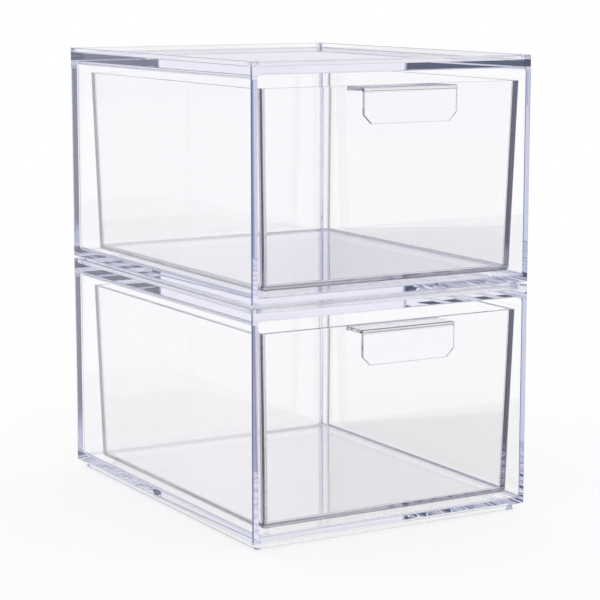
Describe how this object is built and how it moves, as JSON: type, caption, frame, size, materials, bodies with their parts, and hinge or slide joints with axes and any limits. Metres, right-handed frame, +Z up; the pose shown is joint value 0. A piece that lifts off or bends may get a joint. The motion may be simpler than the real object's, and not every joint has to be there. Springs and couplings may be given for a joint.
{
  "type": "stackable drawer organizer",
  "caption": "Clear stackable drawer organizer: open-front cases that nest by a top lip and a foot ring, each holding a pull-out drawer with a bent finger pull.",
  "frame": {"origin": "centre of the bounding box's bottom: on the table, under the middle of the whole width and depth, pulls included", "axes": "+Z up from the table; -Y out of the open front, the way the drawers pull out; +X across the width"},
  "size_m": [0.154, 0.2106, 0.2257],
  "materials": {
    "case_clear": "polished clear moulding with a faint blue-violet cast at its edges",
    "drawer_clear": "polished clear moulding with a faint warm grey cast at its edges"
  },
  "bodies": {
    "lower_case": {"lower_case": "case_clear"},
    "lower_drawer": {"lower_drawer": "drawer_clear"},
    "upper_case": {"upper_case": "case_clear"},
    "upper_drawer": {"upper_drawer": "drawer_clear"}
  },
  "joints": [
    {"name": "lower_drawer_slide", "type": "slide", "parent": "lower_case", "child": "lower_drawer", "axis": [0, -1, 0], "range_m": [0, 0.18]},
    {"name": "upper_unit_lift", "type": "slide", "parent": "lower_case", "child": "upper_case", "axis": [0, 0, 1], "range_m": [0, 0.03]},
    {"name": "upper_drawer_slide", "type": "slide", "parent": "upper_case", "child": "upper_drawer", "axis": [0, -1, 0], "range_m": [0, 0.18]}
  ]
}
